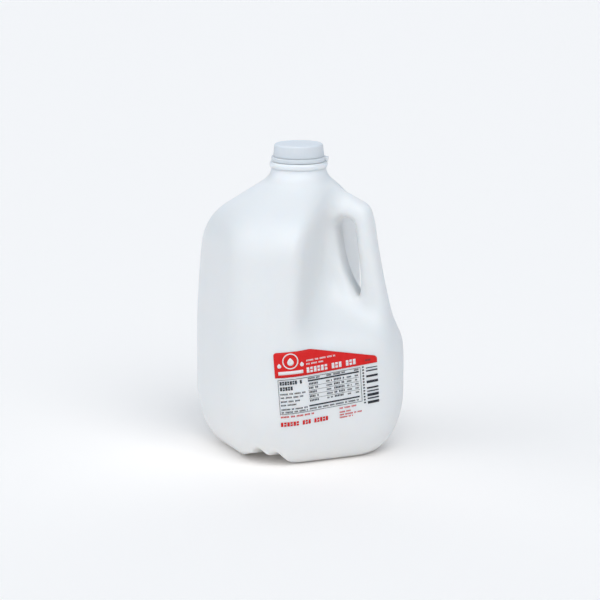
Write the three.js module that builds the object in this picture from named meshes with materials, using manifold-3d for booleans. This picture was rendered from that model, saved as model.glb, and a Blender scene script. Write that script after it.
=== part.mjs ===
// A shut one gallon milk jug of blow-moulded plastic, full and with its cap on.
// Millimetres, +Z up. The origin is on the floor under the neck's axis. The handle is toward +X, the flat
// faces stand at 45 degrees to X and Y, and the face with the print looks toward +X -Y.
// The jug is one closed body, bounded by a smooth field that is negative inside. Its handle is part of it.

import * as THREE from "three";
import { mergeVertices } from "three/addons/utils/BufferGeometryUtils.js";
import Module from "manifold-3d";

// Body: a square with round corners, narrower toward the shoulder.
const HALF_WIDTH = 78.6;
const CORNER = 49.5;
const HANDLE_CORNER = 44.5;
const CORNER_BLEND = 41;
const FACE_CROWN = 1.2;
const TAPER = 7;
const TAPER_FROM = 82.5;
const TAPER_LENGTH = 124;
const TAPER_END = 1.4;

// Rounding between the walls and the floor, a quarter of an ellipse.
const BASE_INSET = 26;
const BASE_RISE = 54;
const BASE_SOFTEN = 8;

// Shoulder: a cone that the walls blend into. It is less steep on the ridge toward the handle.
const SHOULDER_RADIUS = 22.7;
const SHOULDER_TOP = 233.2;
const SHOULDER_SLOPE = 0.64;
const SHOULDER_BLEND = 18;
const RIDGE_EASE = 0.13;

// Neck and its finish.
const NECK_RADIUS = 22.5;
const NECK_BLEND = 8.3;
const NECK_FROM = 150;
const NECK_TOP = 244;
const BEAD_RADIUS = 24.3;
const BEAD_LOW = 240;
const BEAD_HIGH = 245.2;
const BEAD_EDGE = 1.4;
const BEAD_ARC_STEPS = 4;
const FINISH_RADIUS = 20.4;
const FINISH_TOP = 249.3;
const FINISH_ROOT = 234;

// Cap and the tear band under it.
const GAP = 0.3;
const CAP_TOP = 260;
const CAP_TOP_RADIUS = 20.5;
const CAP_LOW_RADIUS = 21.4;
const CAP_EDGE = 1.8;
const CAP_EDGE_STEPS = 3;
const BAND_LOW = 245.6;
const BAND_RADIUS = 22.9;
const BAND_EDGE = 0.6;
const TAB_LENGTH = 7;
const TAB_HEIGHT = 3.3;
const TAB_REACH = 2.2;
const TAB_AZIMUTH = 0.3;
const TURN_STEPS = 56;

// Handle: its back leans in toward the shoulder and stands upright lower down.
const BACK_REACH = 65.5;
const BACK_LEAN = 0.129;
const BACK_BEND = 0.00072;
const BACK_TOP = 208.5;
const BACK_STRAIGHT = 12.4;
const BACK_BLEND = 6;

// Recess on each side of the handle, with a wall toward the neck, a plate beside the grip and a sloping foot.
const WALL = 29;
const WALL_BEND = 0.0014;
const WALL_FROM = 150;
const PLATE = 12.5;
const FOOT_HEIGHT = 142;
const FOOT_OUT = 0.55;
const FOOT_SIDE = 0.5;
const VALLEY_BLEND = 16;

// Rounding of the recess's edge, which is wider at the grip and toward the shoulder's top.
const EDGE_BLEND = 8;
const GRIP_BLEND = 5;
const GRIP_FROM = 30;
const GRIP_RUN = 12;
const TOP_BLEND = 8;
const TOP_FROM = 195;
const TOP_RUN = 25;

// Opening of the handle: circles strung close together on a line that curves outward as it falls.
const OPENING_TOP = 192;
const OPENING_LOW = 137;
const OPENING_REACH = 44.8;
const OPENING_LEAN = 0.11;
const OPENING_BEND = 0.0018;
const OPENING_RADIUS = 9;
const OPENING_NARROW = 7.2;
const OPENING_CIRCLES = 28;
const OPENING_BLEND = 7;

// Underside: a shallow dome, and an arch with two grooves that runs out through the near and far corners.
const DOME = 6.5;
const DOME_RADIUS = 44;
const ARCH = 12.5;
const ARCH_HALF = 29;
const ARCH_MIDDLE = -6;
const GROOVE = 5.2;
const GROOVE_MIDDLE = 1.5;
const GROOVE_PLACE = 8.3;
const GROOVE_HALF = 8.3;
const RUN_FROM = 20.6;
const RUN_LENGTH = 53.7;
const RUN_END = 1.3;
const UNDER_BLEND = 2.6;
const UNDER_SLOPE = 0.8;

// Stretches of the grid that the surface is drawn on: [end, step].
const X_START = -104;
const X_STRETCHES = [
  [-26, 9],
  [24, 5.5],
  [74, 4.2],
  [104, 6],
];
const Y_START = -104;
const Y_STRETCHES = [
  [-26, 9],
  [26, 4.4],
  [104, 9],
];
const Z_START = -6;
const Z_STRETCHES = [
  [22, 4],
  [62, 7],
  [116, 9],
  [130, 6.5],
  [252, 5.5],
];

const PROBE = 0.05;
const PULLS = 8;
const LONGEST_PULL = 1.5;
const CELL_MARGIN = 0.06;
const FLAT = 0.02;

const clamp = (value, low, high) => Math.min(Math.max(value, low), high);

function smoothMin(a, b, blend) {
  const near = Math.max(blend - Math.abs(a - b), 0) / blend;
  return Math.min(a, b) - (near * near * blend) / 4;
}

function smoothMax(a, b, blend) {
  return -smoothMin(-a, -b, blend);
}

// Plan of the body at one height, seen along the faces' own directions u and v.
function plan(u, v, half, corner) {
  const middle = half - corner;
  const across = Math.abs(u) - middle + FACE_CROWN * (v / HALF_WIDTH) ** 2;
  const along = Math.abs(v) - middle + FACE_CROWN * (u / HALF_WIDTH) ** 2;
  const outside = Math.hypot(Math.max(across, 0), Math.max(along, 0));
  return outside + Math.min(Math.max(across, along), 0) - corner;
}

// Walls, and the rounding that brings them in to the floor.
function walls(x, y, z) {
  const u = (x - y) * Math.SQRT1_2;
  const v = (x + y) * Math.SQRT1_2;
  const rise = clamp((z - TAPER_FROM) / TAPER_LENGTH, 0, TAPER_END);
  const half = HALF_WIDTH - TAPER * rise * rise;
  const low = Math.max(BASE_RISE - z, 0) / BASE_RISE;
  const toHandle = clamp((x - Math.abs(y)) / CORNER_BLEND, 0, 1);
  const corner = CORNER + (HANDLE_CORNER - CORNER) * toHandle + BASE_SOFTEN * low * low;
  const side = plan(u, v, half, corner);
  if (side <= -BASE_INSET || z >= BASE_RISE) {
    return Math.max(side, -z);
  }
  return (Math.hypot(side / BASE_INSET + 1, low) - 1) * BASE_INSET;
}

// Recess beside the grip, the same on both sides.
function recess(x, y, z) {
  const wall = x - (WALL + WALL_BEND * Math.max(z - WALL_FROM, 0) ** 2);
  const plate = Math.abs(y) - PLATE;
  const foot = z - FOOT_HEIGHT + FOOT_OUT * (x - WALL) + FOOT_SIDE * plate;
  const steep = Math.hypot(1, FOOT_OUT, FOOT_SIDE);
  return smoothMin(smoothMin(wall, plate, VALLEY_BLEND), foot / steep, VALLEY_BLEND);
}

// Distance in the X-Z plane to the handle's opening.
function opening(x, z) {
  let nearest = Infinity;
  for (let i = 0; i < OPENING_CIRCLES; i += 1) {
    const share = i / (OPENING_CIRCLES - 1);
    const drop = (OPENING_TOP - OPENING_LOW) * share;
    const reach = OPENING_REACH + OPENING_LEAN * drop + OPENING_BEND * drop * drop;
    const radius = OPENING_RADIUS - OPENING_NARROW * share ** 3;
    nearest = Math.min(nearest, Math.hypot(x - reach, z - OPENING_TOP + drop) - radius);
  }
  return nearest;
}

// Height of the underside above the floor. It is below the floor where the feet stand.
function underside(x, y) {
  const dome = DOME * Math.max(1 - (x * x + y * y) / DOME_RADIUS ** 2, 0) ** 2;
  const run = clamp((Math.abs(y) - RUN_FROM) / RUN_LENGTH, 0, RUN_END);
  const arch = ARCH * Math.max(1 - ((x - ARCH_MIDDLE) / ARCH_HALF) ** 4, 0) ** 2;
  const offGroove = (Math.abs(x - GROOVE_MIDDLE) - GROOVE_PLACE) / GROOVE_HALF;
  const groove = GROOVE * Math.max(1 - offGroove ** 2, 0) ** 2;
  return dome + (arch + groove) * run - UNDER_BLEND / UNDER_SLOPE;
}

// The whole jug below the bead: negative inside, zero on the surface.
function jugField(x, y, z) {
  const radius = Math.hypot(x, y);
  const toHandle = clamp((x - Math.abs(y)) / CORNER_BLEND, 0, 1);
  const slope = SHOULDER_SLOPE - RIDGE_EASE * toHandle;
  const cone = (radius - SHOULDER_RADIUS) * slope + z - SHOULDER_TOP;
  let field = smoothMax(walls(x, y, z), cone / Math.hypot(1, SHOULDER_SLOPE), SHOULDER_BLEND);
  const drop = Math.max(BACK_TOP + BACK_STRAIGHT - z, 0) - BACK_STRAIGHT;
  const back = x - (BACK_REACH + BACK_LEAN * drop + BACK_BEND * drop * Math.abs(drop));
  field = smoothMax(field, back, BACK_BLEND);
  field = smoothMin(field, Math.max(radius - NECK_RADIUS, NECK_FROM - z), NECK_BLEND);
  const toGrip = clamp((x - GRIP_FROM) / GRIP_RUN, 0, 1);
  const toTop = clamp((z - TOP_FROM) / TOP_RUN, 0, 1);
  const recessBlend = EDGE_BLEND + GRIP_BLEND * toGrip + TOP_BLEND * toTop;
  field = smoothMax(field, recess(x, y, z), recessBlend);
  field = smoothMax(field, -opening(x, z), OPENING_BLEND);
  field = smoothMax(field, (underside(x, y) - z) * UNDER_SLOPE, UNDER_BLEND);
  return Math.max(field, z - NECK_TOP);
}

function gridLines(start, stretches) {
  const lines = [start];
  let from = start;
  for (const [end, step] of stretches) {
    const count = Math.round((end - from) / step);
    for (let i = 1; i <= count; i += 1) {
      lines.push(from + ((end - from) * i) / count);
    }
    from = end;
  }
  return lines;
}

function slopeOf(field, [x, y, z]) {
  return [
    (field(x + PROBE, y, z) - field(x - PROBE, y, z)) / (2 * PROBE),
    (field(x, y + PROBE, z) - field(x, y - PROBE, z)) / (2 * PROBE),
    (field(x, y, z + PROBE) - field(x, y, z - PROBE)) / (2 * PROBE),
  ];
}

// Pulls a point along the field's slope until it lies on the surface, without leaving its grid cell.
function pullOn(field, point, cell, lines) {
  const inCell = (value, axis) => {
    const low = lines[axis][cell[axis]];
    const high = lines[axis][cell[axis] + 1];
    const margin = (high - low) * CELL_MARGIN;
    return clamp(value, low + margin, high - margin);
  };
  let place = point;
  for (let i = 0; i < PULLS; i += 1) {
    const slope = slopeOf(field, place);
    const steep = Math.max(Math.hypot(...slope), FLAT);
    const pull = clamp(field(...place) / steep, -LONGEST_PULL, LONGEST_PULL) / steep;
    place = place.map((value, axis) => inCell(value - pull * slope[axis], axis));
  }
  return place;
}

// Draws the closed surface where the field is zero: one point in each grid cell that the surface crosses, and
// a four-sided patch across each grid edge that it crosses.
function surfaceGeometry(field, lines) {
  const size = lines.map((line) => line.length);
  const nodeAt = (i, j, k) => (i * size[1] + j) * size[2] + k;
  const values = new Float64Array(size[0] * size[1] * size[2]);
  for (let i = 0; i < size[0]; i += 1) {
    for (let j = 0; j < size[1]; j += 1) {
      for (let k = 0; k < size[2]; k += 1) {
        values[nodeAt(i, j, k)] = field(lines[0][i], lines[1][j], lines[2][k]);
      }
    }
  }

  const points = [];
  const pointOf = new Map();
  const bits = (corner) => [(corner >> 2) & 1, (corner >> 1) & 1, corner & 1];
  const edges = [];
  for (let a = 0; a < 8; a += 1) {
    for (const bit of [1, 2, 4]) {
      if ((a & bit) === 0) {
        edges.push([bits(a), bits(a | bit)]);
      }
    }
  }

  function cellPoint(cell) {
    const sum = [0, 0, 0];
    let count = 0;
    for (const [from, to] of edges) {
      const a = from.map((bit, axis) => cell[axis] + bit);
      const b = to.map((bit, axis) => cell[axis] + bit);
      const low = values[nodeAt(...a)];
      const high = values[nodeAt(...b)];
      if (low < 0 !== high < 0) {
        const part = low / (low - high);
        sum.forEach((value, axis) => {
          const line = lines[axis];
          sum[axis] = value + line[a[axis]] * (1 - part) + line[b[axis]] * part;
        });
        count += 1;
      }
    }
    return count === 0 ? null : sum.map((value) => value / count);
  }

  for (let i = 0; i < size[0] - 1; i += 1) {
    for (let j = 0; j < size[1] - 1; j += 1) {
      for (let k = 0; k < size[2] - 1; k += 1) {
        const start = cellPoint([i, j, k]);
        if (start) {
          pointOf.set(nodeAt(i, j, k), points.length);
          points.push(pullOn(field, start, [i, j, k], lines));
        }
      }
    }
  }

  const triangles = [];
  const offSurface = (a, b) => {
    const middle = points[a].map((value, axis) => (value + points[b][axis]) / 2);
    return Math.abs(field(...middle));
  };
  const addPatch = (a, b, c, d) => {
    if (offSurface(a, c) <= offSurface(b, d)) {
      triangles.push(a, b, c, a, c, d);
    } else {
      triangles.push(a, b, d, b, c, d);
    }
  };
  for (let axis = 0; axis < 3; axis += 1) {
    const next = (axis + 1) % 3;
    const last = (axis + 2) % 3;
    for (let i = 1; i < size[0] - 1; i += 1) {
      for (let j = 1; j < size[1] - 1; j += 1) {
        for (let k = 1; k < size[2] - 1; k += 1) {
          const here = [i, j, k];
          const ahead = [...here];
          ahead[axis] += 1;
          const inside = values[nodeAt(...here)] < 0;
          if (inside !== values[nodeAt(...ahead)] < 0) {
            const around = [[0, 0], [-1, 0], [-1, -1], [0, -1]].map(([one, two]) => {
              const cell = [...here];
              cell[next] += one;
              cell[last] += two;
              return pointOf.get(nodeAt(...cell));
            });
            addPatch(...(inside ? around : around.reverse()));
          }
        }
      }
    }
  }

  const positions = points.flatMap(([x, y, z]) => [x, y, Math.abs(z) < FLAT ? 0 : z]);
  const geometry = new THREE.BufferGeometry();
  geometry.setAttribute("position", new THREE.Float32BufferAttribute(positions, 3));
  geometry.setIndex(triangles);
  return geometry;
}

// Turns a profile of [radius, height] points around the Z axis.
function turned(profile) {
  const outline = profile.map(([radius, height]) => new THREE.Vector2(radius, height));
  const geometry = new THREE.LatheGeometry(outline, TURN_STEPS);
  geometry.rotateX(Math.PI / 2);
  return geometry;
}

const wasm = await Module();
wasm.setup();

function solidOf(geometry) {
  const bare = geometry.clone();
  bare.deleteAttribute("normal");
  bare.deleteAttribute("uv");
  const merged = mergeVertices(bare);
  const vertProperties = new Float32Array(merged.attributes.position.array);
  const triVerts = new Uint32Array(merged.index.array);
  return new wasm.Manifold(new wasm.Mesh({ numProp: 3, vertProperties, triVerts }));
}

function geometryOf(solid) {
  const { vertProperties, triVerts } = solid.getMesh();
  const geometry = new THREE.BufferGeometry();
  geometry.setAttribute("position", new THREE.Float32BufferAttribute(vertProperties, 3));
  geometry.setIndex(new THREE.Uint32BufferAttribute(triVerts, 1));
  return geometry;
}

// Points of a round edge, from one angle to another, in quarter turns.
function arc(radius, height, reach, rise, from, to, steps) {
  return Array.from({ length: steps + 1 }, (_, i) => {
    const angle = ((from + ((to - from) * i) / steps) * Math.PI) / 2;
    return [radius + reach * Math.cos(angle), height + rise * Math.sin(angle)];
  });
}

// Bead around the neck, and the plain finish above it that the cap hides.
function neckFinish() {
  const half = (BEAD_HIGH - BEAD_LOW) / 2;
  return turned([
    [0, FINISH_ROOT],
    [FINISH_RADIUS, FINISH_ROOT],
    [FINISH_RADIUS, BEAD_LOW],
    ...arc(BEAD_RADIUS - BEAD_EDGE, BEAD_LOW + half, BEAD_EDGE, half, -1, 1, BEAD_ARC_STEPS),
    [FINISH_RADIUS, BEAD_HIGH],
    [FINISH_RADIUS, FINISH_TOP],
    [0, FINISH_TOP],
  ]);
}

function jugGeometry() {
  const lines = [
    gridLines(X_START, X_STRETCHES),
    gridLines(Y_START, Y_STRETCHES),
    gridLines(Z_START, Z_STRETCHES),
  ];
  const body = solidOf(surfaceGeometry(jugField, lines));
  return geometryOf(body.add(solidOf(neckFinish())));
}

function capGeometry() {
  const low = FINISH_TOP + GAP;
  return turned([
    [0, low],
    [CAP_LOW_RADIUS, low],
    ...arc(CAP_TOP_RADIUS - CAP_EDGE, CAP_TOP - CAP_EDGE, CAP_EDGE, CAP_EDGE, 0, 1, CAP_EDGE_STEPS),
    [0, CAP_TOP],
  ]);
}

// Ring that tears off when the jug is opened, with the tab that a finger pulls.
function bandGeometry() {
  const inner = FINISH_RADIUS + GAP;
  const ring = turned([
    [inner, BAND_LOW],
    [BAND_RADIUS, BAND_LOW],
    [BAND_RADIUS, FINISH_TOP - BAND_EDGE],
    [BAND_RADIUS - BAND_EDGE, FINISH_TOP],
    [inner, FINISH_TOP],
    [inner, BAND_LOW],
  ]);
  const tab = new THREE.BoxGeometry(TAB_REACH * 2, TAB_LENGTH, TAB_HEIGHT);
  tab.translate(BAND_RADIUS, 0, BAND_LOW + TAB_HEIGHT / 2);
  tab.rotateZ(TAB_AZIMUTH);
  return geometryOf(solidOf(ring).add(solidOf(tab)));
}

function plastic(color, roughness) {
  return new THREE.MeshStandardMaterial({ color, roughness, metalness: 0 });
}

function piece(name, geometry, material) {
  geometry.computeVertexNormals();
  const mesh = new THREE.Mesh(geometry, material);
  mesh.name = name;
  return mesh;
}

const jug = new THREE.Group();
jug.add(piece("jug_body", jugGeometry(), plastic(0xe9eef0, 0.38)));
jug.add(piece("cap", capGeometry(), plastic(0xd3dce4, 0.4)));
jug.add(piece("tear_band", bandGeometry(), plastic(0xcdd7e0, 0.4)));

export default jug;
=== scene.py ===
"""Blender scene of a shut one gallon plastic milk jug, dressed on the frame from CAD.

The body is drawn from the same smooth field as the CAD solid, on a finer grid. Lengths in the field are
millimetres, and the finished meshes are metres.
"""

import math

import bpy
import numpy as np
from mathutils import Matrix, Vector


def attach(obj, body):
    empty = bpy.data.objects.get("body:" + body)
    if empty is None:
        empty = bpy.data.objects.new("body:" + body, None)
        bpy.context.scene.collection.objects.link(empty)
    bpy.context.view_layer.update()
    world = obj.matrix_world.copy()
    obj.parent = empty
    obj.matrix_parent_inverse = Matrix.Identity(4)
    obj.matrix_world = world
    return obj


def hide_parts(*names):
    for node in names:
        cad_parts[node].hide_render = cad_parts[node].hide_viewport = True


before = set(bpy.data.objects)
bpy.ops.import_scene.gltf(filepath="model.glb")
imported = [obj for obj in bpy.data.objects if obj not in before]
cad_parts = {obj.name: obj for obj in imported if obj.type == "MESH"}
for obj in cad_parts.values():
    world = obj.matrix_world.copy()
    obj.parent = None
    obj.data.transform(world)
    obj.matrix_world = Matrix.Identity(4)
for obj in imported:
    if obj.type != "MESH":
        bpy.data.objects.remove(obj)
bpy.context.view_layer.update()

MM = 0.001

# Body: a square with round corners, narrower toward the shoulder.
HALF_WIDTH = 78.6
CORNER = 49.5
HANDLE_CORNER = 44.5
CORNER_BLEND = 41
FACE_CROWN = 1.2
TAPER = 7
TAPER_FROM = 82.5
TAPER_LENGTH = 124
TAPER_END = 1.4

# Rounding between the walls and the floor, a quarter of an ellipse.
BASE_INSET = 26
BASE_RISE = 54
BASE_SOFTEN = 8

# Shoulder: a cone that the walls blend into. It is less steep on the ridge toward the handle.
SHOULDER_RADIUS = 22.7
SHOULDER_TOP = 233.2
SHOULDER_SLOPE = 0.64
SHOULDER_BLEND = 18
RIDGE_EASE = 0.13

# Neck and the bead round it.
NECK_RADIUS = 22.5
NECK_BLEND = 8.3
NECK_FROM = 150
NECK_TOP = 244
BEAD_RADIUS = 24.3
BEAD_LOW = 240
BEAD_HIGH = 245.2
BEAD_EDGE = 1.4
BEAD_STEPS = 12
FINISH_RADIUS = 20.4
FINISH_TOP = 249.3
FINISH_ROOT = 234

# Cap. Its round edge and the edge of its dish start at these shares of a quarter turn. The gap is the
# space between the cap, the tear band and the neck.
GAP = 0.3
CAP_TOP = 260
CAP_TOP_RADIUS = 20.5
CAP_LOW_RADIUS = 21.4
CAP_LIP = 0.4
CAP_SIDE_RINGS = 14
CAP_EDGE = 1.8
CAP_EDGE_START = 0.15
CAP_EDGE_STEPS = 8
CAP_DISH = 0.35
CAP_DISH_RADIUS = 17.6
CAP_DISH_EDGE = 1.2
CAP_DISH_START = 0.85
CAP_DISH_STEPS = 6
RIB_COUNT = 96
RIB_STEPS = 6
RIB_DEPTH = 0.12
RIB_LOW = 250.4
RIB_HIGH = 257.6

# Tear band under the cap, and its pull tab. The tab's azimuth is in radians.
BAND_LOW = 245.6
BAND_RADIUS = 22.9
BAND_EDGE = 0.6
BAND_EDGE_STEPS = 5
TAB_LENGTH = 7
TAB_HEIGHT = 3.3
TAB_REACH = 2.2
TAB_ROOT = 1
TAB_AZIMUTH = 0.3
TAB_ROUND = 0.8
TAB_ROUND_STEPS = 5

# Handle: its back leans in toward the shoulder and stands upright lower down.
BACK_REACH = 65.5
BACK_LEAN = 0.129
BACK_BEND = 0.00072
BACK_TOP = 208.5
BACK_STRAIGHT = 12.4
BACK_BLEND = 6

# Recess on each side of the handle, with a wall toward the neck, a plate beside the grip and a sloping foot.
WALL = 29
WALL_BEND = 0.0014
WALL_FROM = 150
PLATE = 12.5
FOOT_HEIGHT = 142
FOOT_OUT = 0.55
FOOT_SIDE = 0.5
VALLEY_BLEND = 16

# Rounding of the recess's edge, which is wider at the grip and toward the shoulder's top.
EDGE_BLEND = 8
GRIP_BLEND = 5
GRIP_FROM = 30
GRIP_RUN = 12
TOP_BLEND = 8
TOP_FROM = 195
TOP_RUN = 25

# Opening of the handle: circles strung close together on a line that curves outward as it falls.
OPENING_TOP = 192
OPENING_LOW = 137
OPENING_REACH = 44.8
OPENING_LEAN = 0.11
OPENING_BEND = 0.0018
OPENING_RADIUS = 9
OPENING_NARROW = 7.2
OPENING_CIRCLES = 28
OPENING_BLEND = 7

# Underside: a shallow dome, and an arch with two grooves that runs out through the near and far corners.
DOME = 6.5
DOME_RADIUS = 44
ARCH = 12.5
ARCH_HALF = 29
ARCH_MIDDLE = -6
GROOVE = 5.2
GROOVE_MIDDLE = 1.5
GROOVE_PLACE = 8.3
GROOVE_HALF = 8.3
RUN_FROM = 20.6
RUN_LENGTH = 53.7
RUN_END = 1.3
UNDER_BLEND = 2.6
UNDER_SLOPE = 0.8

# Grid that the body is drawn on, and how its points are pulled onto the surface.
FINE_STEP = 1.45
GRID_REACH = 96
GRID_LOW = -2.3
GRID_HIGH = 247
PULLS = 5
PROBE = 0.05
LONGEST_PULL = 0.7
CELL_MARGIN = 0.04
FLAT = 0.02

# Turned pieces.
TURN_STEPS = 192
SHARP_EDGE = math.radians(40)

# Print on the face between the near corner and the handle, measured along the surface: s runs from the
# middle line of the face toward the handle, t runs up from the floor. Its own a and b lean a little.
# Ink printed on the red field lies higher by OVERPRINT.
PRINT_TILT = math.radians(4.2)
PRINT_PLACE = (-15, 66)
PRINT_LIFT = 0.12
OVERPRINT = 0.05
PRINT_DEPTH = 0.16
PRINT_STEP = 2.2

# Table of the face that the print is laid out on, and the search for the surface. LAST_ROW is just short
# of the table's last row, so that there is always a row above it.
FACE_AZIMUTH = math.radians(-45)
OUTLINE_FROM = math.radians(-120)
OUTLINE_TO = math.radians(15)
OUTLINE_STEPS = 271
OUTLINE_ROWS = 36
OUTLINE_LOW = 34
OUTLINE_HIGH = 106
LAST_ROW = OUTLINE_ROWS - 1.001
OUTLINE_INNER = 30
OUTLINE_OUTER = 112
HALVINGS = 28

# Red field of the print: level at the top left, then falling toward the right.
FIELD_LEFT = -38.2
FIELD_RIGHT = 52.6
FIELD_LOW = 15.6
FIELD_TOP = 36.8
FIELD_KNEE = -7
FIELD_FALL = 0.262
FIELD_CORNER = 2.4
FIELD_CORNER_STEPS = 4
FIELD_ROWS = 8

# White marks on the red field: a drop in a ring between two smaller drops, each given as its place and
# size, a bar under them, two thin lines and a line of blocks.
RING_MIDDLE = (-24.6, 29)
RING_OUTER = 6.6
RING_INNER = 5.7
RING_STEPS = 48
DROP_WIDTH = 2.7
DROP_HEIGHT = 3.6
DROP_TAPER = 0.55
DROP_SHARPNESS = 1.5
DROP_RINGS = (0.02, 0.5, 1)
DROPS = [(-24.6, 28.1, 1), (-34, 25.4, 0.62), (-15.2, 25.4, 0.62)]
NAME_BAR = (-35.2, 18, -14.4, 20.8)
HEADLINE = (-11.4, 17.4, 35.4, 22)
THIN_LINES = [(-11.2, 27.2, 15.6, 28.5), (-11.4, 24.3, 4.9, 25.6)]
DATE_LINE = (41.4, 18.2, 47.3, 19.8)

# Framed panel: a left column of lines, and rows between two thick bars. Boxes are (left, low, right,
# high), column lines are (low, right), row words are (left, right, bold) and top lines are (left, right).
PANEL = (-36.2, -15.3, 36.8, 13.9)
PANEL_RULE = 0.35
COLUMN = -11.4
THICK_BARS = [(-11, 9.9, 35.2, 11.1), (-11.2, -11.3, 34.6, -10.1)]
TITLE_LINES = [(-34.7, 9.4, -14.6, 12.4), (-34.7, 4.7, -22.6, 7.8)]
TITLE_FIRST_WORD = 4
COLUMN_LINES = [(1.0, -13), (-1.9, -15.2), (-5.2, -18.5), (-8.2, -21.3), (-11.9, -12.8), (-14.3, -12.6)]
COLUMN_LEFT = -34.8
SMALL_HEIGHT = 1.25
BOLD_HEIGHT = SMALL_HEIGHT * 1.3
ROWS_HIGH = 7
ROW_PITCH = 3.55
ROW_COUNT = 5
ROW_WORDS = [
    (-10.2, -1.2, True),
    (5.4, 10.8, False),
    (12.2, 22, True),
    (24, 28.2, False),
    (31.4, 35, False),
]
ROW_RULE = PANEL_RULE * 0.6
ROW_RULE_DROP = 1.2
ROW_RULE_LEFT = COLUMN + 0.4
ROW_RULE_RIGHT = PANEL[2] - 1.6
TOP_LINES = [(-10.8, 0.8), (6, 10.2), (12.2, 23.2), (31, 35)]
TOP_LINES_LOW = THICK_BARS[0][3] + 0.7
FOOT_LINE_LEFT = -10.8
FOOT_LINE_RIGHT = 34.4
FOOT_LINE_LOW = -13.9

# Ladder of bars at the right of the panel, as (height of the lower edge, thickness), and marks beside it.
BARS_LEFT = 41.8
BARS_RIGHT = 52.4
BARS = [
    (11.9, 0.7),
    (9.2, 1.1),
    (4.3, 1.7),
    (-0.7, 2.1),
    (-5.6, 1.4),
    (-8.2, 1.0),
    (-12, 2.2),
    (-14.4, 1.1),
    (-18.4, 2.2),
]
MARKS_LEFT = 38.4
MARKS_WIDTH = 1.5
MARKS_LOW = -17.5
MARKS_HIGH = 13
MARKS_COUNT = 13

# Red lines under the panel.
RED_LINES = [
    (-35.7, -18.3, -6.8, -16.9),
    (15.8, -18.4, 32.2, -17.1),
    (15.7, -21.7, 26, -20.5),
    (15.7, -24.1, 35.8, -22.9),
    (15.7, -26.4, 28, -25.2),
]
RED_HEADLINE = (-35.8, -25.9, 6, -22.2)

# Letter sized blocks stand for lettering: block and gap as shares of the line's height. Lines higher than
# BOLD_FROM have broader blocks, and every second one is split across.
BLOCK_WIDTH = 0.55
BLOCK_GAP = 0.3
BOLD_WIDTH = 0.52
BOLD_GAP = 0.18
BOLD_FROM = 2.2
BOLD_SPLIT = 0.16
WORD_LENGTHS = [6, 3, 5, 4, 7, 2]

# Plastic and milk. Colours are linear, from 0 to 1.
MILK_WHITE = (0.845, 0.85, 0.845)
# Above the milk the plastic is clear and a little blue. It is also painted lighter than the milky part, as
# painted light on the neck, which is in shade.
EMPTY_AND_LIT_WHITE = (0.92, 0.935, 0.95)
MILK_LEVEL = 231
MILK_CLEAR = 240
CAP_COLOUR = (0.73, 0.76, 0.785)
# The cap's top is painted lighter than its side, as a painted highlight for the light that falls on it from
# above.
CAP_TOP_PAINTED_HIGHLIGHT = (0.77, 0.8, 0.83)
JUG_ROUGHNESS = 0.42
CAP_ROUGHNESS = 0.45
ROUGHNESS_SPREAD = 0.04
JUG_SOAK = 0.7
CAP_SOAK = 0.5
SOAK_RADIUS = (1, 0.85, 0.75)
SOAK_DEPTH = 0.006
PLASTIC_IOR = 1.5
CLOUD_SCALE = 14
CLOUD_DETAIL = 3
CLOUD_DARK = 0.965
SKIN_SCALE = 900
SKIN_DETAIL = 2
SKIN_DEPTH = 0.0002
JUG_GRAIN = 0.12
CAP_GRAIN = 0.15

INK_RED = (0.68, 0.012, 0.012)
INK_RED_WORN = (0.72, 0.03, 0.028)
INK_WHITE = (0.85, 0.83, 0.82)
INK_WHITE_WORN = (0.8, 0.76, 0.76)
INK_BLACK = (0.02, 0.024, 0.03)
INK_BLACK_WORN = (0.06, 0.065, 0.075)
INK_DATE = (0.2, 0.03, 0.03)
INK_ROUGHNESS = 0.5
INK_SHINE = 0.15
INK_SCALE = 220
INK_DETAIL = 2

# Colour sockets of the mix node.
MIX_A = 6
MIX_B = 7
MIX_RESULT = 2

# Studio. A light is its name, how far it stands round from -Y toward +X and above level, its spread, in
# degrees, and its strength.
FLOOR_SIZE = 60
FLOOR_COLOUR = (0.985, 0.94, 0.9)
FLOOR_ROUGHNESS = 0.9
FLOOR_SHINE = 0.1
FLOOR_GLOW = 0.05
SKY_COLOUR = (0.3, 0.62, 1.0)
SKY_STRENGTH = 0.2
LIGHTS = [
    ("front", 42, 48, 50, 1.55),
    ("left", -66, 25, 60, 0.68),
    ("left_high", -20, 50, 60, 0.56),
    ("right", 72, 30, 60, 0.08),
    ("top", 0, 85, 60, 0.4),
    ("back", 201, 25, 60, 0.55),
]

# Camera: how far it stands round from -Y toward +X and above level, its distance, what it looks at, and
# the pixel that shows it.
VIEW_AROUND = math.radians(21)
VIEW_ABOVE = math.radians(11.9)
VIEW_DISTANCE = 2.06
VIEW_END = 50
VIEW_TARGET = Vector((0, 0, 0.13))
IMAGE_SIZE = 600
PIXELS_PER_METRE = 1180
TARGET_PIXEL = (298.7, 295.3)
SENSOR = 36


def smooth_min(a, b, blend):
    """The lower of two fields, rounded where they lie within the blend of each other."""
    near = np.maximum(blend - np.abs(a - b), 0) / blend
    return np.minimum(a, b) - near * near * blend / 4


def smooth_max(a, b, blend):
    """The higher of two fields, rounded in the same way."""
    return -smooth_min(-a, -b, blend)


def plan(u, v, half, corner):
    """Outline of the body at one height, seen along the faces' own directions u and v."""
    across = np.abs(u) - (half - corner) + FACE_CROWN * (v / HALF_WIDTH) ** 2
    along = np.abs(v) - (half - corner) + FACE_CROWN * (u / HALF_WIDTH) ** 2
    outside = np.hypot(np.maximum(across, 0), np.maximum(along, 0))
    return outside + np.minimum(np.maximum(across, along), 0) - corner


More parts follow.
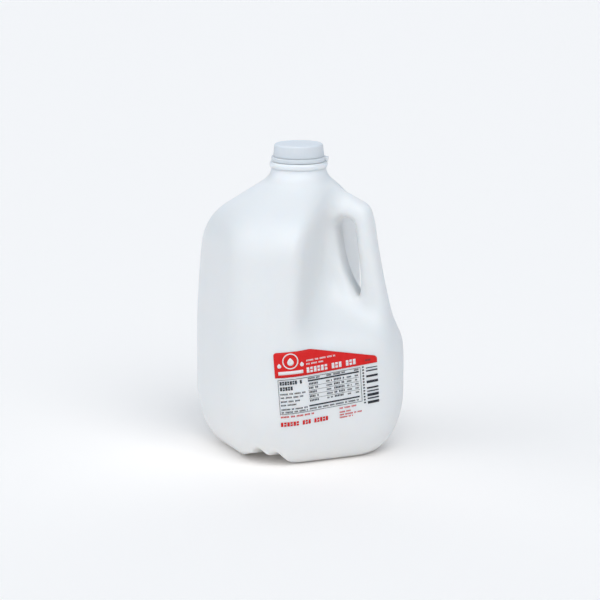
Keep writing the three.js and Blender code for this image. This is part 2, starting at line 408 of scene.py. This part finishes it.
def walls(x, y, z):
    """Walls, and the rounding that brings them in to the floor."""
    u = (x - y) * math.sqrt(0.5)
    v = (x + y) * math.sqrt(0.5)
    rise = np.clip((z - TAPER_FROM) / TAPER_LENGTH, 0, TAPER_END)
    half = HALF_WIDTH - TAPER * rise * rise
    low = np.maximum(BASE_RISE - z, 0) / BASE_RISE
    to_handle = np.clip((x - np.abs(y)) / CORNER_BLEND, 0, 1)
    corner = CORNER + (HANDLE_CORNER - CORNER) * to_handle + BASE_SOFTEN * low * low
    side = plan(u, v, half, corner)
    rounded = (np.hypot(side / BASE_INSET + 1, low) - 1) * BASE_INSET
    return np.where((side <= -BASE_INSET) | (z >= BASE_RISE), np.maximum(side, -z), rounded)


def opening(x, z):
    """Distance in the X-Z plane to the handle's opening."""
    nearest = np.inf
    for share in np.linspace(0, 1, OPENING_CIRCLES):
        drop = (OPENING_TOP - OPENING_LOW) * share
        reach = OPENING_REACH + OPENING_LEAN * drop + OPENING_BEND * drop * drop
        radius = OPENING_RADIUS - OPENING_NARROW * share**3
        nearest = np.minimum(nearest, np.hypot(x - reach, z - OPENING_TOP + drop) - radius)
    return nearest


def recess(x, y, z):
    """Recess beside the grip, the same on both sides."""
    wall = x - (WALL + WALL_BEND * np.maximum(z - WALL_FROM, 0) ** 2)
    plate = np.abs(y) - PLATE
    foot = z - FOOT_HEIGHT + FOOT_OUT * (x - WALL) + FOOT_SIDE * plate
    foot = foot / math.sqrt(1 + FOOT_OUT**2 + FOOT_SIDE**2)
    return smooth_min(smooth_min(wall, plate, VALLEY_BLEND), foot, VALLEY_BLEND)


def underside(x, y):
    """Height of the underside above the floor. It is below the floor where the feet stand."""
    dome = DOME * np.maximum(1 - (x * x + y * y) / DOME_RADIUS**2, 0) ** 2
    run = np.clip((np.abs(y) - RUN_FROM) / RUN_LENGTH, 0, RUN_END)
    arch = ARCH * np.maximum(1 - ((x - ARCH_MIDDLE) / ARCH_HALF) ** 4, 0) ** 2
    off_groove = (np.abs(x - GROOVE_MIDDLE) - GROOVE_PLACE) / GROOVE_HALF
    groove = GROOVE * np.maximum(1 - off_groove**2, 0) ** 2
    return dome + (arch + groove) * run - UNDER_BLEND / UNDER_SLOPE


def jug_field(x, y, z):
    """The whole jug below the bead: negative inside, zero on the surface."""
    radius = np.hypot(x, y)
    to_handle = np.clip((x - np.abs(y)) / CORNER_BLEND, 0, 1)
    slope = SHOULDER_SLOPE - RIDGE_EASE * to_handle
    cone = (radius - SHOULDER_RADIUS) * slope + z - SHOULDER_TOP
    field = smooth_max(walls(x, y, z), cone / math.hypot(1, SHOULDER_SLOPE), SHOULDER_BLEND)
    drop = np.maximum(BACK_TOP + BACK_STRAIGHT - z, 0) - BACK_STRAIGHT
    back = x - (BACK_REACH + BACK_LEAN * drop + BACK_BEND * drop * np.abs(drop))
    field = smooth_max(field, back, BACK_BLEND)
    field = smooth_min(field, np.maximum(radius - NECK_RADIUS, NECK_FROM - z), NECK_BLEND)
    to_grip = np.clip((x - GRIP_FROM) / GRIP_RUN, 0, 1)
    to_top = np.clip((z - TOP_FROM) / TOP_RUN, 0, 1)
    recess_blend = EDGE_BLEND + GRIP_BLEND * to_grip + TOP_BLEND * to_top
    field = smooth_max(field, recess(x, y, z), recess_blend)
    field = smooth_max(field, -opening(x, z), OPENING_BLEND)
    field = smooth_max(field, (underside(x, y) - z) * UNDER_SLOPE, UNDER_BLEND)
    return np.maximum(field, z - NECK_TOP)


def slope_of(field, points):
    """Slope of the field at each point, along X, Y and Z."""
    x, y, z = points.T
    slopes = [
        field(x + PROBE, y, z) - field(x - PROBE, y, z),
        field(x, y + PROBE, z) - field(x, y - PROBE, z),
        field(x, y, z + PROBE) - field(x, y, z - PROBE),
    ]
    return np.stack(slopes, 1) / (2 * PROBE)


def cell_points(values, lines):
    """One point in each grid cell that the surface crosses, and the number of the point in each cell."""
    shape = np.array(values.shape)
    corners = [(i, j, k) for i in (0, 1) for j in (0, 1) for k in (0, 1)]

    def window(corner):
        return tuple(slice(c, n - 1 + c) for c, n in zip(corner, shape))

    inside = sum((values[window(c)] < 0).astype(np.int8) for c in corners)
    crossed = (inside > 0) & (inside < len(corners))
    number = -np.ones(crossed.shape, np.int64)
    number[crossed] = np.arange(crossed.sum())
    cells = np.argwhere(crossed)
    total = np.zeros(cells.shape)
    count = np.zeros(len(cells))
    for start in corners:
        for axis in range(3):
            if start[axis]:
                continue
            end = tuple(1 if a == axis else c for a, c in enumerate(start))
            low = values[tuple((cells + start).T)]
            high = values[tuple((cells + end).T)]
            hit = (low < 0) != (high < 0)
            part = np.where(hit, low / np.where(hit, low - high, 1), 0)[:, None]
            near = np.stack([lines[a][cells[:, a] + start[a]] for a in range(3)], 1)
            far = np.stack([lines[a][cells[:, a] + end[a]] for a in range(3)], 1)
            total[hit] += (near * (1 - part) + far * part)[hit]
            count[hit] += 1
    return total / count[:, None], number, cells


def pulled_on(field, points, cells, lines):
    """Moves points along the field's slope until they lie on the surface, each within its grid cell."""
    low = np.stack([lines[a][cells[:, a]] for a in range(3)], 1)
    high = np.stack([lines[a][cells[:, a] + 1] for a in range(3)], 1)
    margin = (high - low) * CELL_MARGIN
    for _ in range(PULLS):
        slope = slope_of(field, points)
        steep = np.maximum(np.linalg.norm(slope, axis=1), FLAT)
        pull = np.clip(field(*points.T) / steep, -LONGEST_PULL, LONGEST_PULL) / steep
        points = np.clip(points - pull[:, None] * slope, low + margin, high - margin)
    return points


def surface_of(field, lines):
    """Closed four-sided mesh of the surface where the field is zero."""
    values = field(*np.meshgrid(*lines, indexing="ij"))
    points, number, cells = cell_points(values, lines)
    points = pulled_on(field, points, cells, lines)
    patches = []
    for axis in range(3):
        others = [(axis + 1) % 3, (axis + 2) % 3]
        near = tuple(slice(0, -1) if a == axis else slice(1, -1) for a in range(3))
        far = tuple(slice(1, None) if a == axis else slice(1, -1) for a in range(3))
        starts = np.argwhere((values[near] < 0) != (values[far] < 0))
        starts[:, others] += 1
        around = []
        for one, two in ((0, 0), (-1, 0), (-1, -1), (0, -1)):
            cell = starts.copy()
            cell[:, others[0]] += one
            cell[:, others[1]] += two
            around.append(number[tuple(cell.T)])
        around = np.stack(around, 1)
        turned_over = values[tuple(starts.T)] >= 0
        around[turned_over] = around[turned_over][:, ::-1]
        patches.append(around)
    points[np.abs(points[:, 2]) < FLAT, 2] = 0
    return points, np.concatenate(patches)


def mesh_object(name, points, faces, smooth_angle=None):
    """A closed, smooth shaded mesh from points in millimetres."""
    mesh = bpy.data.meshes.new(name)
    mesh.from_pydata((np.asarray(points) * MM).tolist(), [], [tuple(int(i) for i in f) for f in faces])
    mesh.validate()
    mesh.shade_smooth()
    if smooth_angle is not None:
        mesh.set_sharp_from_angle(angle=smooth_angle)
    made = bpy.data.objects.new(name, mesh)
    bpy.context.collection.objects.link(made)
    return made


def arc(radius, height, reach, rise, start, end, steps):
    """Points of a round edge in a turned profile, from one angle to another, in quarter turns."""
    angles = [(start + (end - start) * i / steps) * math.pi / 2 for i in range(steps + 1)]
    return [(radius + reach * math.cos(a), height + rise * math.sin(a)) for a in angles]


def turned(profile, steps=TURN_STEPS, wave=None):
    """Turns a profile of (radius, height) points, which starts and ends on the axis, around Z.

    A wave adds to the radius by angle and height.
    """
    points = [(0, 0, profile[0][1])]
    faces = []
    rings = []
    for radius, height in profile[1:-1]:
        rings.append(len(points))
        for i in range(steps):
            angle = 2 * math.pi * i / steps
            reach = radius + (wave(angle, height) if wave else 0)
            points.append((reach * math.cos(angle), reach * math.sin(angle), height))
    points.append((0, 0, profile[-1][1]))
    for i in range(steps):
        after = (i + 1) % steps
        faces.append((0, rings[0] + after, rings[0] + i))
        for low, high in zip(rings, rings[1:]):
            faces.append((low + i, low + after, high + after, high + i))
        faces.append((len(points) - 1, rings[-1] + i, rings[-1] + after))
    return points, faces


def dressed(piece, material, material_slot, *nodes):
    """Gives a piece its material and its place in the frame."""
    piece.data.materials.clear()
    piece.data.materials.append(material)
    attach(piece, "root")
    if nodes:
        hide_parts(*nodes)


def face_angles(field):
    """Table of the distance along the surface from the face's middle line, by height and azimuth."""
    azimuths = np.linspace(OUTLINE_FROM, OUTLINE_TO, OUTLINE_STEPS)
    heights = np.linspace(OUTLINE_LOW, OUTLINE_HIGH, OUTLINE_ROWS)
    all_azimuths, all_heights = np.meshgrid(azimuths, heights)
    reach = reach_at(field, all_azimuths, all_heights)
    x, y = reach * np.cos(all_azimuths), reach * np.sin(all_azimuths)
    steps = np.hypot(np.diff(x, axis=1), np.diff(y, axis=1))
    along = np.concatenate([np.zeros((OUTLINE_ROWS, 1)), np.cumsum(steps, axis=1)], 1)
    for row in along:
        row -= np.interp(FACE_AZIMUTH, azimuths, row)
    return azimuths, heights, along


def reach_at(field, azimuths, heights):
    """Distance from the neck's axis to the surface, found by halving."""
    low = np.full(azimuths.shape, float(OUTLINE_INNER))
    high = np.full(azimuths.shape, float(OUTLINE_OUTER))
    for _ in range(HALVINGS):
        middle = (low + high) / 2
        inside = field(middle * np.cos(azimuths), middle * np.sin(azimuths), heights) < 0
        low = np.where(inside, middle, low)
        high = np.where(inside, high, middle)
    return low


class Ink:
    """Flat shapes in the print's own a and b, laid on the face as a thin layer of one ink.

    The table of the face is worked out once, for all inks.
    """

    table = None

    def __init__(self, lift):
        self.lift = lift
        self.places = []
        self.faces = []

    def sheet(self, places, closed=False):
        """Adds a grid of (a, b) places, given as rows of columns. A closed one joins its last column."""
        start = len(self.places)
        columns = len(places[0])
        for row in places:
            self.places.extend(row)
        for j in range(len(places) - 1):
            for i in range(columns if closed else columns - 1):
                after = (i + 1) % columns
                low, high = start + j * columns, start + (j + 1) * columns
                self.faces.append((low + i, low + after, high + after, high + i))

    def bar(self, left, low, right, high):
        """A filled box, cut up so that it follows the face."""
        columns = max(1, math.ceil((right - left) / PRINT_STEP))
        rows = max(1, math.ceil((high - low) / PRINT_STEP))
        self.sheet([
            [
                (left + (right - left) * i / columns, low + (high - low) * j / rows)
                for i in range(columns + 1)
            ]
            for j in range(rows + 1)
        ])

    def blocks(self, left, low, right, high, first_word=0):
        """A line of letter sized blocks, in words, from left to right."""
        height = high - low
        bold = height > BOLD_FROM
        width = height * (BOLD_WIDTH if bold else BLOCK_WIDTH)
        step = width + height * (BOLD_GAP if bold else BLOCK_GAP)
        place, word, letter = left, first_word, 0
        while place + width <= right:
            if letter == WORD_LENGTHS[word % len(WORD_LENGTHS)]:
                word, letter = word + 1, 0
            else:
                split = height * BOLD_SPLIT if bold and letter % 2 else 0
                self.bar(place, low, place + width, low + (height - split) / 2)
                self.bar(place, high - (height - split) / 2, place + width, high)
                letter += 1
            place += step

    def frame(self, left, low, right, high, rule):
        """The outline of a box, in lines as broad as the rule."""
        self.bar(left, low, right, low + rule)
        self.bar(left, high - rule, right, high)
        self.bar(left, low + rule, left + rule, high - rule)
        self.bar(right - rule, low + rule, right, high - rule)

    def laid(self, name, field):
        """The shapes as a mesh, on the face of the jug."""
        a, b = np.array(self.places, float).T
        s = PRINT_PLACE[0] + a * math.cos(PRINT_TILT) - b * math.sin(PRINT_TILT)
        t = PRINT_PLACE[1] + a * math.sin(PRINT_TILT) + b * math.cos(PRINT_TILT)
        if Ink.table is None:
            Ink.table = face_angles(field)
        azimuths, heights, along = Ink.table
        row = np.clip((t - heights[0]) / (heights[1] - heights[0]), 0, LAST_ROW)
        lower = row.astype(int)
        part = row - lower
        turn = np.array([
            np.interp(s[i], along[lower[i]], azimuths) * (1 - part[i])
            + np.interp(s[i], along[lower[i] + 1], azimuths) * part[i]
            for i in range(len(s))
        ])
        reach = reach_at(field, turn, t)
        points = np.stack([reach * np.cos(turn), reach * np.sin(turn), t], 1)
        slope = slope_of(field, points)
        points += self.lift * slope / np.linalg.norm(slope, axis=1, keepdims=True)
        made = mesh_object(name, points, self.faces)
        thick = made.modifiers.new("thickness", "SOLIDIFY")
        thick.thickness = PRINT_DEPTH * MM
        thick.offset = -1
        return made


def red_print():
    """The red field, and the red lines under the panel."""
    ink = Ink(PRINT_LIFT)
    columns = math.ceil((FIELD_RIGHT - FIELD_LEFT) / PRINT_STEP)
    edge = [
        FIELD_CORNER * (1 - math.cos(math.pi / 2 * i / FIELD_CORNER_STEPS))
        for i in range(FIELD_CORNER_STEPS)
    ]
    middle = np.linspace(FIELD_LEFT + FIELD_CORNER, FIELD_RIGHT - FIELD_CORNER, columns)
    across = [FIELD_LEFT + e for e in edge] + list(middle) + [FIELD_RIGHT - e for e in reversed(edge)]

    def top(a):
        """Height of the field's upper edge, with its two round corners."""
        level = FIELD_TOP - FIELD_FALL * max(a - FIELD_KNEE, 0)
        inset = max(FIELD_CORNER - min(a - FIELD_LEFT, FIELD_RIGHT - a), 0)
        return level - FIELD_CORNER + math.sqrt(max(FIELD_CORNER**2 - inset**2, 0))

    ink.sheet([
        [(a, FIELD_LOW + (top(a) - FIELD_LOW) * j / FIELD_ROWS) for a in across]
        for j in range(FIELD_ROWS + 1)
    ])
    for line, box in enumerate(RED_LINES):
        ink.blocks(*box, first_word=line)
    ink.blocks(*RED_HEADLINE)
    return ink


def white_print():
    """White marks on the red field."""
    ink = Ink(PRINT_LIFT + OVERPRINT)
    turns = [2 * math.pi * i / RING_STEPS for i in range(RING_STEPS)]
    a, b = RING_MIDDLE
    ink.sheet(
        [[(a + r * math.cos(t), b + r * math.sin(t)) for t in turns] for r in (RING_INNER, RING_OUTER)],
        closed=True,
    )

    def drop(t, share):
        """A drop with its point up: a circle drawn out where it looks up."""
        narrow = max(math.sin(t), 0) ** DROP_SHARPNESS
        width = DROP_WIDTH * math.cos(t) * (1 - DROP_TAPER * narrow)
        height = DROP_HEIGHT * math.sin(t) * (1 if math.sin(t) > 0 else DROP_WIDTH / DROP_HEIGHT)
        return share * width, share * height

    for left, low, size in DROPS:
        ink.sheet(
            [
                [(left + across, low + up) for across, up in (drop(t, share * size) for t in turns)]
                for share in DROP_RINGS
            ],
            closed=True,
        )
    ink.bar(*NAME_BAR)
    ink.blocks(*HEADLINE)
    for line, box in enumerate(THIN_LINES):
        ink.blocks(*box, first_word=line)
    return ink


def black_print():
    """The framed panel with its lines and rows, and the ladder of bars beside it."""
    ink = Ink(PRINT_LIFT)
    ink.frame(*PANEL, PANEL_RULE)
    for box in THICK_BARS:
        ink.bar(*box)
    for box in TITLE_LINES:
        ink.blocks(*box, first_word=TITLE_FIRST_WORD)
    for line, (low, right) in enumerate(COLUMN_LINES):
        ink.blocks(COLUMN_LEFT, low, right, low + SMALL_HEIGHT, first_word=line)
    for left, right in TOP_LINES:
        ink.blocks(left, TOP_LINES_LOW, right, TOP_LINES_LOW + SMALL_HEIGHT)
    for row in range(ROW_COUNT):
        low = ROWS_HIGH - row * ROW_PITCH
        for word, (left, right, bold) in enumerate(ROW_WORDS):
            high = low + (BOLD_HEIGHT if bold else SMALL_HEIGHT)
            ink.blocks(left, low, right, high, first_word=row + word)
        if row < ROW_COUNT - 1:
            rule_low = low - ROW_RULE_DROP
            ink.bar(ROW_RULE_LEFT, rule_low, ROW_RULE_RIGHT, rule_low + ROW_RULE)
    ink.blocks(FOOT_LINE_LEFT, FOOT_LINE_LOW, FOOT_LINE_RIGHT, FOOT_LINE_LOW + SMALL_HEIGHT)
    for low, thickness in BARS:
        ink.bar(BARS_LEFT, low, BARS_RIGHT, low + thickness)
    for mark in range(MARKS_COUNT):
        low = MARKS_LOW + (MARKS_HIGH - MARKS_LOW) * mark / (MARKS_COUNT - 1)
        ink.bar(MARKS_LEFT, low, MARKS_LEFT + MARKS_WIDTH, low + SMALL_HEIGHT)
    return ink


def date_print():
    """Small dark line at the right end of the red field."""
    ink = Ink(PRINT_LIFT + OVERPRINT)
    ink.blocks(*DATE_LINE)
    return ink


def body_piece():
    """The blown jug with its handle, from the floor to the top of the neck."""
    line = np.arange(-GRID_REACH, GRID_REACH + FINE_STEP, FINE_STEP)
    up = np.arange(GRID_LOW, GRID_HIGH + FINE_STEP, FINE_STEP)
    points, faces = surface_of(jug_field, [line, line, up])
    return mesh_object("jug_shell", points, faces)


def finish_piece():
    """Bead round the neck, and the plain finish above it that the cap hides."""
    half = (BEAD_HIGH - BEAD_LOW) / 2
    points, faces = turned([
        (0, FINISH_ROOT),
        (FINISH_RADIUS, FINISH_ROOT),
        (FINISH_RADIUS, BEAD_LOW),
        *arc(BEAD_RADIUS - BEAD_EDGE, BEAD_LOW + half, BEAD_EDGE, half, -1, 1, BEAD_STEPS),
        (FINISH_RADIUS, BEAD_HIGH),
        (FINISH_RADIUS, FINISH_TOP),
        (0, FINISH_TOP),
    ])
    return mesh_object("neck_bead", points, faces, smooth_angle=SHARP_EDGE)


def cap_piece():
    """Snap cap: a round edge on top, a shallow dish, and fine ribs down its side."""

    def ribs(angle, height):
        """Grooves between the ribs, cut in from the side of the cap."""
        ribbed = RIB_LOW <= height <= RIB_HIGH
        return -RIB_DEPTH * (0.5 - 0.5 * math.cos(RIB_COUNT * angle)) if ribbed else 0

    low, side_top = FINISH_TOP + GAP, CAP_TOP - CAP_EDGE
    edge_radius = CAP_TOP_RADIUS - CAP_EDGE
    dish_radius, dish = CAP_DISH_RADIUS + CAP_DISH_EDGE, CAP_TOP - CAP_DISH
    side = [
        (CAP_LOW_RADIUS + (CAP_TOP_RADIUS - CAP_LOW_RADIUS) * share, low + (side_top - low) * share)
        for share in np.linspace(0, 1, CAP_SIDE_RINGS)
    ]
    points, faces = turned([
        (0, low),
        (CAP_LOW_RADIUS - CAP_LIP, low),
        *side,
        *arc(edge_radius, side_top, CAP_EDGE, CAP_EDGE, CAP_EDGE_START, 1, CAP_EDGE_STEPS),
        (dish_radius, CAP_TOP),
        *arc(dish_radius, dish, -CAP_DISH_EDGE, CAP_DISH, CAP_DISH_START, 0, CAP_DISH_STEPS),
        (CAP_DISH_RADIUS / 2, dish),
        (0, dish),
    ], steps=RIB_COUNT * RIB_STEPS, wave=ribs)
    return mesh_object("snap_cap", points, faces, smooth_angle=SHARP_EDGE)


def band_piece():
    """Tear band between the cap and the bead, a ring that is open in the middle."""
    low, high = BAND_LOW, FINISH_TOP
    inner, round_from = FINISH_RADIUS + GAP, BAND_RADIUS - BAND_EDGE
    profile = [
        (inner, low),
        *arc(round_from, low + BAND_EDGE, BAND_EDGE, BAND_EDGE, -1, 0, BAND_EDGE_STEPS),
        *arc(round_from, high - BAND_EDGE, BAND_EDGE, BAND_EDGE, 0, 1, BAND_EDGE_STEPS),
        (inner, high),
    ]
    points, faces = [], []
    for i in range(TURN_STEPS):
        angle = 2 * math.pi * i / TURN_STEPS
        points += [(r * math.cos(angle), r * math.sin(angle), h) for r, h in profile]
    count = len(profile)
    for i in range(TURN_STEPS):
        here, after = i * count, (i + 1) % TURN_STEPS * count
        for j in range(count):
            up = (j + 1) % count
            faces.append((here + j, after + j, after + up, here + up))
    return mesh_object("tear_ring", points, faces, smooth_angle=SHARP_EDGE)


def tab_piece():
    """Pull tab of the tear band, a small rounded block."""
    from_radius, to_radius = BAND_RADIUS - TAB_ROOT, BAND_RADIUS + TAB_REACH
    size = (to_radius - from_radius, TAB_LENGTH, TAB_HEIGHT)
    bpy.ops.mesh.primitive_cube_add(size=1)
    tab = bpy.context.object
    tab.name = "pull_tab"
    middle = (from_radius + to_radius) / 2
    height = (BAND_LOW + FINISH_TOP) / 2
    corners = np.array([v.co[:] for v in tab.data.vertices]) * size + (middle, 0, 0)
    cosine, sine = math.cos(TAB_AZIMUTH), math.sin(TAB_AZIMUTH)
    corners[:, :2] = corners[:, :2] @ np.array([[cosine, sine], [-sine, cosine]])
    corners[:, 2] += height
    for vertex, corner in zip(tab.data.vertices, corners * MM):
        vertex.co = corner
    rounding = tab.modifiers.new("rounding", "BEVEL")
    rounding.width = TAB_ROUND * MM
    rounding.segments = TAB_ROUND_STEPS
    tab.data.shade_smooth()
    return tab


def set_inputs(node, settings):
    """Gives a node's sockets their values."""
    for socket, value in settings.items():
        node.inputs[socket].default_value = value


def new_material(name, settings):
    """New material whose shader has these settings."""
    material = bpy.data.materials.new(name)
    material.use_nodes = True
    set_inputs(material.node_tree.nodes["Principled BSDF"], settings)
    return material


def added(tree, kind, settings):
    """New node of one kind, with these settings."""
    made = tree.nodes.new(kind)
    set_inputs(made, settings)
    return made


def noise(tree, place, scale, detail):
    """Noise over a place, from 0 to 1."""
    made = added(tree, "ShaderNodeTexNoise", {"Scale": scale, "Detail": detail})
    tree.links.new(place, made.inputs["Vector"])
    return made.outputs["Fac"]


def scaled(tree, value, low, high):
    """A value from 0 to 1, scaled to run from low to high."""
    made = added(tree, "ShaderNodeMapRange", {"To Min": low, "To Max": high})
    tree.links.new(value, made.inputs["Value"])
    return made.outputs["Result"]


def mixed(tree, share, colour, other):
    """Two colours mixed, the other one by its share."""
    made = tree.nodes.new("ShaderNodeMix")
    made.data_type = "RGBA"
    set_inputs(made, {MIX_A: (*colour, 1), MIX_B: (*other, 1)})
    tree.links.new(share, made.inputs["Factor"])
    return made.outputs[MIX_RESULT]


def plastic(name, colour, upper_and_lit_colour, levels, roughness, soak, grain):
    """Satin polyethylene that light soaks into. It takes the upper colour between two heights, and this
    colour carries painted light: on the jug it is the clear plastic above the milk, painted lighter for the
    shaded neck, and on the cap it is a painted highlight on the top.
    """
    material = new_material(name, {
        "Subsurface Weight": soak,
        "Subsurface Radius": SOAK_RADIUS,
        "Subsurface Scale": SOAK_DEPTH,
        "IOR": PLASTIC_IOR,
    })
    tree = material.node_tree
    link = tree.links.new
    shader = tree.nodes["Principled BSDF"]
    place = tree.nodes.new("ShaderNodeTexCoord").outputs["Object"]

    level = tree.nodes.new("ShaderNodeSeparateXYZ")
    link(place, level.inputs["Vector"])
    heights = {"From Min": levels[0] * MM, "From Max": levels[1] * MM}
    # Share of the upper colour by height, which is where the painted light lies.
    above = added(tree, "ShaderNodeMapRange", heights)
    above.interpolation_type = "SMOOTHSTEP"
    link(level.outputs["Z"], above.inputs["Value"])

    cloud = noise(tree, place, CLOUD_SCALE, CLOUD_DETAIL)
    clouded = tree.nodes.new("ShaderNodeVectorMath")
    clouded.operation = "SCALE"
    link(mixed(tree, above.outputs["Result"], colour, upper_and_lit_colour), clouded.inputs[0])
    link(scaled(tree, cloud, CLOUD_DARK, 1), clouded.inputs["Scale"])
    link(clouded.outputs["Vector"], shader.inputs["Base Color"])
    gloss = scaled(tree, cloud, roughness - ROUGHNESS_SPREAD, roughness + ROUGHNESS_SPREAD)
    link(gloss, shader.inputs["Roughness"])

    bump = added(tree, "ShaderNodeBump", {"Strength": grain, "Distance": SKIN_DEPTH})
    link(noise(tree, place, SKIN_SCALE, SKIN_DETAIL), bump.inputs["Height"])
    link(bump.outputs["Normal"], shader.inputs["Normal"])
    return material


def ink_material(name, colour, worn_colour):
    """Printing ink, a little thin in places."""
    material = new_material(name, {"Roughness": INK_ROUGHNESS, "Specular IOR Level": INK_SHINE})
    tree = material.node_tree
    place = tree.nodes.new("ShaderNodeTexCoord").outputs["Object"]
    tone = mixed(tree, noise(tree, place, INK_SCALE, INK_DETAIL), colour, worn_colour)
    tree.links.new(tone, tree.nodes["Principled BSDF"].inputs["Base Color"])
    return material


def toward(around, above):
    """Direction from the jug to something that stands round from -Y toward +X and above level."""
    return Vector((
        math.sin(around) * math.cos(above),
        -math.cos(around) * math.cos(above),
        math.sin(above),
    ))


def soft_light(name, around, above, spread, strength):
    """A broad light from far off, which falls evenly on the jug and the floor."""
    data = bpy.data.lights.new(name, "SUN")
    data.angle = math.radians(spread)
    data.energy = strength
    light = bpy.data.objects.new(name, data)
    direction = toward(math.radians(around), math.radians(above))
    light.rotation_euler = direction.to_track_quat("Z", "Y").to_euler()
    bpy.context.collection.objects.link(light)


def studio():
    """Pale floor with a faint glow of its own, pale sky and soft light."""
    bpy.context.scene.view_settings.view_transform = "Standard"
    bpy.ops.mesh.primitive_plane_add(size=FLOOR_SIZE)
    floor = bpy.context.object
    floor.name = "floor"
    floor.data.materials.append(new_material("floor_pale", {
        "Base Color": (*FLOOR_COLOUR, 1),
        "Roughness": FLOOR_ROUGHNESS,
        "Specular IOR Level": FLOOR_SHINE,
        "Emission Color": (*FLOOR_COLOUR, 1),
        "Emission Strength": FLOOR_GLOW,
    }))
    world = bpy.data.worlds.new("studio")
    world.use_nodes = True
    sky = {"Color": (*SKY_COLOUR, 1), "Strength": SKY_STRENGTH}
    set_inputs(world.node_tree.nodes["Background"], sky)
    bpy.context.scene.world = world
    for light in LIGHTS:
        soft_light(*light)


def camera():
    """The photograph's view."""
    direction = toward(VIEW_AROUND, VIEW_ABOVE)
    data = bpy.data.cameras.new("camera")
    data.sensor_width = SENSOR
    data.lens = SENSOR * PIXELS_PER_METRE * VIEW_DISTANCE / IMAGE_SIZE
    data.shift_x = (IMAGE_SIZE / 2 - TARGET_PIXEL[0]) / IMAGE_SIZE
    data.shift_y = (TARGET_PIXEL[1] - IMAGE_SIZE / 2) / IMAGE_SIZE
    data.clip_end = VIEW_END
    made = bpy.data.objects.new("camera", data)
    made.location = VIEW_TARGET + direction * VIEW_DISTANCE
    made.rotation_mode = "QUATERNION"
    made.rotation_quaternion = direction.to_track_quat("Z", "Y")
    bpy.context.collection.objects.link(made)
    bpy.context.scene.camera = made


camera()
# The jug changes colour at the milk line. Above it the colour is partly the clear plastic and partly painted
# light on the neck.
jug_plastic = plastic(
    "jug_plastic_milk_painted_neck_light",
    MILK_WHITE,
    EMPTY_AND_LIT_WHITE,
    (MILK_LEVEL, MILK_CLEAR),
    JUG_ROUGHNESS,
    JUG_SOAK,
    JUG_GRAIN,
)
# The cap is painted lighter from its round edge up, as a painted highlight on its top.
cap_plastic = plastic(
    "cap_plastic_satin_painted_top",
    CAP_COLOUR,
    CAP_TOP_PAINTED_HIGHLIGHT,
    (CAP_TOP - CAP_EDGE, CAP_TOP),
    CAP_ROUGHNESS,
    CAP_SOAK,
    CAP_GRAIN,
)
dressed(body_piece(), jug_plastic, "jug_plastic", "jug_body")
dressed(finish_piece(), jug_plastic, "jug_plastic", "jug_body")
dressed(cap_piece(), cap_plastic, "cap_plastic", "cap")
dressed(band_piece(), cap_plastic, "band_plastic", "tear_band")
dressed(tab_piece(), cap_plastic, "band_plastic", "tear_band")
for name, ink, colour, worn in (
    ("print_red", red_print(), INK_RED, INK_RED_WORN),
    ("print_white", white_print(), INK_WHITE, INK_WHITE_WORN),
    ("print_black", black_print(), INK_BLACK, INK_BLACK_WORN),
    ("print_date", date_print(), INK_DATE, INK_BLACK_WORN),
):
    dressed(ink.laid(name, jug_field), ink_material(name + "_ink", colour, worn), "jug_plastic")
studio()
